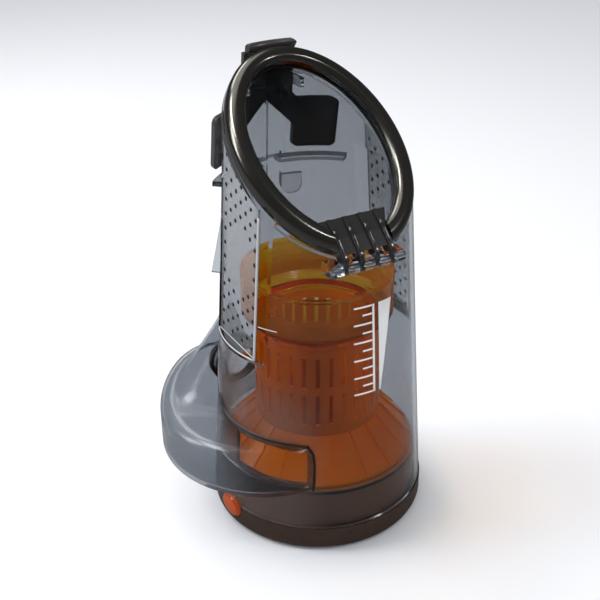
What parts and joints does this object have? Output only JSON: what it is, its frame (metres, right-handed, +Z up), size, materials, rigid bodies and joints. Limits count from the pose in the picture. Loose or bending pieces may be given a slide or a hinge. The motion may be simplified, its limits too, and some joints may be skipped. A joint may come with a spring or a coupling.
{
  "type": "cyclone dust bin",
  "caption": "Clear cylindrical cyclone dust bin with slanted hinged emptying lid, latch, side inlet scroll, amber cyclone and filter head with release button.",
  "frame": {"origin": "centre of the foot's underside, on the axis of the bin wall", "axes": "+Z up along the bin's axis, -Y towards the lid's hinge, -X towards the inlet scroll"},
  "size_m": [0.1535, 0.141, 0.264],
  "materials": {
    "dark_plastic": "satin dark grey moulding",
    "seal_rubber": "matt black rubber",
    "screw_steel": "plain zinc plated steel",
    "amber_plastic": "clear amber moulding",
    "filter_paper": "white pleated filter medium",
    "frame_plastic": "plain white moulding",
    "smoke_plastic": "clear smoke grey moulding",
    "pin_steel": "ground steel pin",
    "spring_steel": "drawn spring wire",
    "bronze_trim": "dark bronze metallic gloss",
    "window_plastic": "clear moulding",
    "black_plastic": "semi gloss black moulding",
    "orange_plastic": "gloss orange moulding"
  },
  "bodies": {
    "head": {"foot_cover": "dark_plastic", "separator_plate": "dark_plastic", "bin_seal": "seal_rubber", "plate_screws": "screw_steel", "outlet_tube": "dark_plastic", "cyclone_shroud": "amber_plastic", "cyclone_collar": "amber_plastic", "inner_cone": "amber_plastic", "pleated_filter": "filter_paper", "filter_frame": "frame_plastic", "filter_seal": "seal_rubber", "button_spring": "spring_steel"},
    "bin": {"bin_body": "smoke_plastic", "inlet_scroll": "smoke_plastic", "inlet_seal": "seal_rubber", "hinge_pin": "pin_steel", "latch_pin": "pin_steel", "latch_spring": "spring_steel"},
    "lid": {"lid_ring": "bronze_trim", "lid_window": "window_plastic", "lid_gasket": "seal_rubber", "hinge_leaf": "black_plastic"},
    "latch": {"latch_yoke": "black_plastic"},
    "button": {"release_button": "orange_plastic"}
  },
  "joints": [
    {"name": "bin_lift", "type": "slide", "parent": "head", "child": "bin", "axis": [0, 0, 1], "range_m": [0, 0.15]},
    {"name": "lid_hinge", "type": "hinge", "parent": "bin", "child": "lid", "pos_m": [-0.0035, -0.05533, 0.17613], "axis": [1, 0, 0], "range_deg": [0, 100]},
    {"name": "latch_pivot", "type": "hinge", "parent": "bin", "child": "latch", "pos_m": [0, 0.0551, 0.23999], "axis": [-1, 0, 0], "range_deg": [0, 5], "stiffness_Nm_per_rad": 0.6, "springref_deg": -5.73, "deforming": ["latch_spring"]},
    {"name": "button_press", "type": "slide", "parent": "head", "child": "button", "axis": [0.9945, 0.1045, 0], "range_m": [0, 0.003], "stiffness_N_per_m": 250, "springref_m": -0.004, "deforming": ["button_spring"]}
  ]
}
